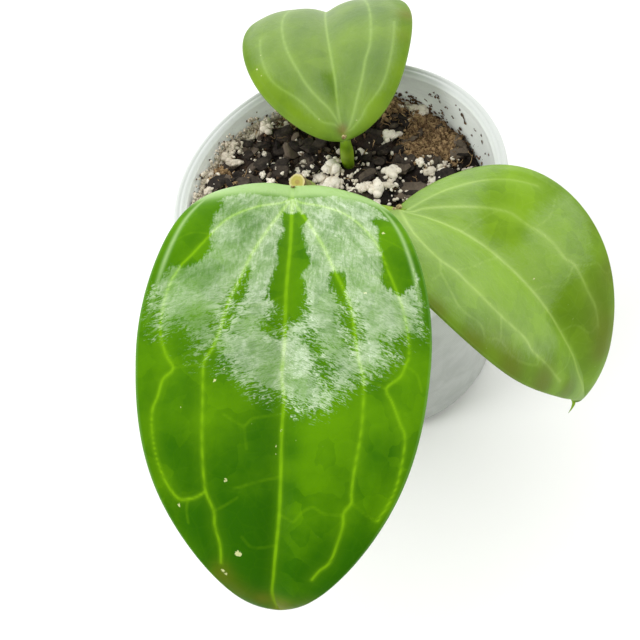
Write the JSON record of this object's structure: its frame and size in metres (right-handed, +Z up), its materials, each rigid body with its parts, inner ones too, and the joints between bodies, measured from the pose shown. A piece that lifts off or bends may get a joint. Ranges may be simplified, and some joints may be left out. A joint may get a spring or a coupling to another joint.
{
  "type": "potted hoya plant",
  "caption": "Young hoya with large thick heart-shaped leaves and a cut stem, standing in soil in a round tapered nursery pot.",
  "frame": {"origin": "centre of the pot's flat underside, on the surface it stands on", "axes": "+Z up along the pot's axis, -Y towards the side where the largest leaf hangs over the rim, +X to the right seen from there"},
  "size_m": [0.119, 0.2064, 0.139],
  "materials": {
    "pot_plastic": "translucent white, satin",
    "potting_mix": "rough peat, bark and coir with white perlite",
    "stem_bark": "olive green, satin, yellow cut end",
    "dark_leaf": "deep green, glossy, pale veins",
    "pale_leaf": "light green, satin, pale veins"
  },
  "bodies": {
    "root": {"pot": "pot_plastic", "soil": "potting_mix", "stem": "stem_bark", "front_leaf": "dark_leaf", "right_leaf": "pale_leaf", "back_leaf": "pale_leaf"}
  },
  "joints": []
}
